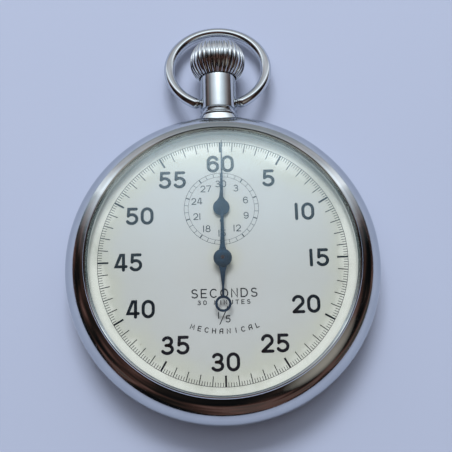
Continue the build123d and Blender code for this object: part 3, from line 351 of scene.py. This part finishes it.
class Print:
    """Closed thin shapes raised a hair above the dial, gathered into one mesh."""

    def __init__(self, low, high):
        self.low, self.high = low * MM, high * MM
        self.verts, self.faces = [], []

    def stroke(self, points, width, round_ends=True):
        """A pen line of constant width along points; a line that ends where it starts is closed."""
        closed = hypot(points[0][0] - points[-1][0], points[0][1] - points[-1][1]) < 1e-6
        points = points[:-1] if closed else points
        count = len(points)
        left, right = [], []
        for k, (x, y) in enumerate(points):
            before = points[k - 1] if closed or k else points[k]
            after = points[(k + 1) % count] if closed or k < count - 1 else points[k]
            into = Vector((x - before[0], y - before[1]))
            out = Vector((after[0] - x, after[1] - y))
            into = into.normalized() if into.length > 1e-9 else out.normalized()
            out = out.normalized() if out.length > 1e-9 else into
            mean = (into + out).normalized() if (into + out).length > 1e-6 else out
            reach = width / 2 / max(0.62, mean.dot(out))
            side = Vector((-mean.y, mean.x)) * reach
            left.append((x + side.x, y + side.y))
            right.append((x - side.x, y - side.y))
        base = len(self.verts)
        for level in (self.low, self.high):
            self.verts += [(x * MM, y * MM, level) for x, y in left + right]
        top = base + 2 * count
        last = count if closed else count - 1
        for k in range(last):
            after = (k + 1) % count
            self.faces.append((top + k, top + count + k, top + count + after, top + after))
            self.faces.append((base + k, base + after, base + count + after, base + count + k))
            self.faces.append((base + k, top + k, top + after, base + after))
            self.faces.append((base + count + k, base + count + after, top + count + after, top + count + k))
        if closed:
            return
        for end, inner in ((0, 1), (count - 1, count - 2)):
            self.end_cap(points[end], points[inner], base, top, count, end, width, round_ends)

    def end_cap(self, at, inner, base, top, count, end, width, round_ends):
        heading = atan2(at[1] - inner[1], at[0] - inner[0])
        steps = 6 if round_ends else 1
        first = len(self.verts)
        ring = []
        for k in range(1, steps):
            turn = heading - pi / 2 + pi * k / steps
            ring.append((at[0] + width / 2 * cos(turn), at[1] + width / 2 * sin(turn)))
        for level in (self.low, self.high):
            self.verts += [(x * MM, y * MM, level) for x, y in ring]
        spare = len(ring)
        low_side = [base + end, base + count + end]
        high_side = [top + end, top + count + end]
        if end:
            low_side.reverse()
            high_side.reverse()
        low_loop = [low_side[0]] + [first + k for k in range(spare)] + [low_side[1]]
        high_loop = [high_side[0]] + [first + spare + k for k in range(spare)] + [high_side[1]]
        if spare:
            self.faces.append(tuple(high_loop))
            self.faces.append(tuple(reversed(low_loop)))
        for k in range(len(low_loop) - 1):
            self.faces.append((low_loop[k], low_loop[k + 1], high_loop[k + 1], high_loop[k]))

    def ring(self, centre, radius, width, count=240):
        points = [(centre[0] + radius * cos(2 * pi * k / count), centre[1] + radius * sin(2 * pi * k / count))
                  for k in range(count)]
        self.stroke(points + [points[0]], width)

    def text(self, words, centre, height, width, gap, turn=0.0, stretch=1.0):
        """A line of stroke glyphs centred on a point; height and gap are of the pen's centre line."""
        total = sum(ADVANCE.get(letter, 0.68) * height * stretch for letter in words) + gap * (len(words) - 1)
        cursor = -total / 2
        for letter in words:
            for stroke in GLYPHS.get(letter, []):
                placed = []
                for x, y in stroke:
                    px = cursor + x * height * stretch
                    py = (y - 0.5) * height
                    placed.append((centre[0] + px * cos(turn) - py * sin(turn),
                                   centre[1] + px * sin(turn) + py * cos(turn)))
                self.stroke(placed, width)
            cursor += ADVANCE.get(letter, 0.68) * height * stretch + gap

    def piece(self, name, material):
        obj = closed_piece(name, self.verts, self.faces, material)
        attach(obj, "case")
        return obj


PRINT_LOW, PRINT_HIGH = DIAL_TOP - 0.004, DIAL_TOP + 0.010


def polar(radius, turn, centre=(0.0, 0.0)):
    """Point at a clock angle in degrees from 12 o'clock."""
    return (centre[0] + radius * sin(radians(turn)), centre[1] + radius * cos(radians(turn)))


track = Print(PRINT_LOW, PRINT_HIGH)
track.ring((0, 0), TRACK_R, 0.07, 360)
for fifth in range(300):
    turn = fifth * 1.2
    if fifth % 25 == 0:
        length, width = 1.70, 0.29
    elif fifth % 5 == 0:
        length, width = 1.55, 0.135
    else:
        length, width = 0.66, 0.09
    track.stroke([polar(TRACK_R, turn), polar(TRACK_R - length, turn)], width, False)
track.piece("seconds_track", INK)

numerals = Print(PRINT_LOW, PRINT_HIGH + 0.002)
NUMERAL_R = {5: 15.2, 10: 15.0, 15: 14.9, 20: 14.45, 25: 15.1, 30: 15.7, 35: 15.0, 40: 14.7, 45: 14.6, 50: 14.85,
             55: 15.3, 60: 15.75}
for value, reach in NUMERAL_R.items():
    numerals.text(str(value), polar(reach, value * 6), 2.36, 0.49, 0.80, stretch=0.96)
numerals.piece("seconds_numerals", INK)

register = Print(PRINT_LOW, PRINT_HIGH)
centre = (0.0, REGISTER_Y)
register.ring(centre, 5.85, 0.06)
register.ring(centre, 5.22, 0.05)
for minute in range(30):
    width = 0.17 if minute % 3 == 0 else 0.07
    register.stroke([polar(5.85, minute * 12, centre), polar(5.22, minute * 12, centre)], width, False)
for value in range(3, 33, 3):
    register.text(str(value), polar(4.05, value * 12, centre), 0.98, 0.13, 0.26)
register.piece("register_print", INK)

words = Print(PRINT_LOW, PRINT_HIGH)
words.text("SECONDS", (0.1, -5.2), 1.26, 0.19, 0.60)
words.text("30 MINUTES", (0.0, -6.62), 0.60, 0.13, 0.48)
words.text("1", (-0.85, -8.62), 0.95, 0.15, 0.1)
words.stroke([(-0.70, -10.0), (0.56, -7.3)], 0.14)
words.text("5", (0.56, -9.2), 0.95, 0.15, 0.1)
for k, letter in enumerate("MECHANICAL"):
    turn = (k - 4.5) * 4.1
    spot = (0.05 + 15.5 * sin(radians(turn)), -11.05 + 15.5 * (1 - cos(radians(turn))))
    words.text(letter, spot, 0.68, 0.14, 0.1, radians(turn))
words.piece("dial_words", INK)


# ---------------------------------------------------------------- crown spring
def crown_spring(turns=3.67, wire=0.16, steps=30, sides=12):
    """The return coil as a closed tube between the stem and the crown."""
    low, high = (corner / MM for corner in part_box("crown_spring"))
    centre = (low + high) / 2
    reach = (high.x - low.x) / 2 - wire
    start, stop = low.y + wire, high.y - wire
    count = int(turns * steps)
    verts, faces = [], []
    for k in range(count + 1):
        turn = 2 * pi * turns * k / count
        outward = Vector((cos(turn), 0, sin(turn)))
        spine = Vector((centre.x, start + (stop - start) * k / count, centre.z)) + outward * reach
        for side in range(sides):
            angle = 2 * pi * side / sides
            verts.append((spine + outward * (wire * cos(angle)) + Vector((0, wire * sin(angle), 0))) * MM)
    for k in range(count):
        for side in range(sides):
            after = (side + 1) % sides
            near, far = k * sides, (k + 1) * sides
            faces.append((near + side, near + after, far + after, far + side))
    faces += [tuple(reversed(range(sides))), tuple(range(count * sides, (count + 1) * sides))]
    obj = closed_piece("crown_return_spring", verts, faces, LOOKS["spring_steel"])
    obj.data.polygons.foreach_set("use_smooth", [True] * len(obj.data.polygons))
    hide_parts("crown_spring")
    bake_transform(obj)


crown_spring()

# ---------------------------------------------------------------- floor, lights, camera
floor_mesh = bpy.data.meshes.new("floor")
SIDE = 1.6
floor_mesh.from_pydata([(-SIDE, -SIDE, -0.00002), (SIDE, -SIDE, -0.00002), (SIDE, SIDE, -0.00002),
                        (-SIDE, SIDE, -0.00002)], [], [(0, 1, 2, 3)])
floor = bpy.data.objects.new("floor", floor_mesh)
scene.collection.objects.link(floor)
paper = Shader("floor", Roughness=0.85)
paper.link(paper.mix(paper.noise(9.0, 3.0), (0.352, 0.394, 0.520), (0.375, 0.414, 0.537)), "Base Color")
floor_mesh.materials.append(paper.material)


def area(name, at, size, power, colour):
    """A soft light aimed at the origin, unseen in reflections."""
    light = bpy.data.lights.new(name, "AREA")
    light.shape = "RECTANGLE"
    light.size, light.size_y = size
    light.energy = power
    light.color = colour
    obj = bpy.data.objects.new(name, light)
    scene.collection.objects.link(obj)
    obj.location = at
    obj.rotation_euler = (-Vector(at)).to_track_quat("-Z", "Y").to_euler()
    obj.visible_glossy = False


area("window", (-0.03, 0.37, 0.60), (0.30, 0.20), 4.2, (0.94, 0.97, 1.0))
area("overhead", (-0.05, 0.02, 0.9), (0.6, 0.6), 2.7, (0.96, 0.98, 1.0))


# Tones from the dim side of the room (0) to the crown side (1), with the window's bright band between.
CEILING = [(0.50, (0.0, 0.0, 0.0)), (0.58, (0.08, 0.10, 0.11)), (0.63, (0.38, 0.46, 0.51)),
           (0.665, (0.74, 0.86, 0.96)), (0.71, (1.18, 1.36, 1.50)), (0.735, (2.30, 2.50, 2.65)),
           (0.77, (2.00, 2.20, 2.35)), (0.83, (1.00, 1.12, 1.22)), (1.0, (0.66, 0.74, 0.80))]
# Cloudy browns of the furniture that the lower half of the case reflects.
DIM_ROOM = [(0.34, (0.004, 0.005, 0.006)), (0.45, (0.018, 0.014, 0.012)), (0.53, (0.070, 0.036, 0.030)),
            (0.60, (0.155, 0.088, 0.076)), (0.70, (0.060, 0.058, 0.050))]
LAMP_TOWARD, LAMP_TONE = (0.62, -0.42, 0.66), (0.42, 0.39, 0.34, 1.0)
BACKDROP = (0.50, 0.55, 0.68, 1.0)
CEILING_BEND = 0.36
ROOM_STRENGTH = 0.82


def room_light():
    """The room that the metal and glass reflect; seen directly it is a plain pale backdrop."""
    world = bpy.data.worlds.new("room")
    scene.world = world
    world.use_nodes = True
    tree = world.node_tree

    def add(kind, inputs=(), **props):
        return add_node(tree, kind, inputs, **props)

    heading = add("TexCoord").outputs["Generated"]
    parts = add("SeparateXYZ", {"Vector": heading})
    side = add("Math", {0: parts.outputs["X"], 1: parts.outputs["X"]}, operation="MULTIPLY").outputs[0]
    bent = add("Math", {0: side, 1: CEILING_BEND}, operation="MULTIPLY").outputs[0]
    ahead = add("Math", {0: parts.outputs["Y"], 1: bent}, operation="SUBTRACT").outputs[0]
    along = add("MapRange", {"Value": ahead, "From Min": -1.0, "From Max": 1.0}).outputs["Result"]
    pale = colour_ramp(tree, along, CEILING)
    height = add("MapRange", {"Value": parts.outputs["Z"], "From Min": 0.30, "From Max": 0.88, "To Min": 0.50,
                              "To Max": 1.0}).outputs["Result"]
    pale = add("VectorMath", {0: pale, "Scale": height}, operation="SCALE").outputs["Vector"]
    streak = add("Mapping", {"Vector": heading, "Scale": (0.9, 1.7, 2.2)}).outputs["Vector"]
    cloud = add("TexNoise", {"Vector": streak, "Scale": 1.5, "Detail": 1.6, "Roughness": 0.45}).outputs["Fac"]
    dim = colour_ramp(tree, cloud, DIM_ROOM)
    both = add("Mix", {6: dim, 7: pale, 0: 1.0}, data_type="RGBA", blend_type="ADD").outputs[2]
    lamp = add("VectorMath", {0: heading, 1: LAMP_TOWARD}, operation="DOT_PRODUCT").outputs["Value"]
    glow = add("MapRange", {"Value": lamp, "From Min": 0.94, "From Max": 1.0}).outputs["Result"]
    both = add("Mix", {6: both, 7: LAMP_TONE, 0: glow}, data_type="RGBA").outputs[2]
    seen = add("LightPath").outputs["Is Camera Ray"]
    both = add("Mix", {6: both, 7: BACKDROP, 0: seen}, data_type="RGBA").outputs[2]
    tree.links.new(both, tree.nodes["Background"].inputs["Color"])
    tree.nodes["Background"].inputs["Strength"].default_value = ROOM_STRENGTH


room_light()

# The camera looks down from the 6 o'clock side; lengths are shares of the seconds track's radius.
TILT, TURN, ROLL = radians(15.492), radians(-0.904), radians(-1.6456)
DISTANCE = 6.7815 * TRACK_R * MM
LOOK_AT = Vector((0.0335 * TRACK_R * MM, 0.2804 * TRACK_R * MM, DIAL_TOP * MM))
toward = Vector((sin(TURN) * sin(TILT), -cos(TURN) * sin(TILT), cos(TILT)))
across = Vector((0, 1, 0)).cross(toward).normalized()
upward = toward.cross(across)
right = across * cos(ROLL) + upward * sin(ROLL)
top = upward * cos(ROLL) - across * sin(ROLL)
camera = bpy.data.objects.new("camera", bpy.data.cameras.new("camera"))
scene.collection.objects.link(camera)
camera.data.lens = 66.97
camera.data.sensor_width = 36.0
camera.data.clip_start = 0.005
spot = LOOK_AT + toward * DISTANCE
camera.matrix_world = Matrix(((right.x, top.x, toward.x, spot.x), (right.y, top.y, toward.y, spot.y),
                              (right.z, top.z, toward.z, spot.z), (0, 0, 0, 1)))
scene.camera = camera
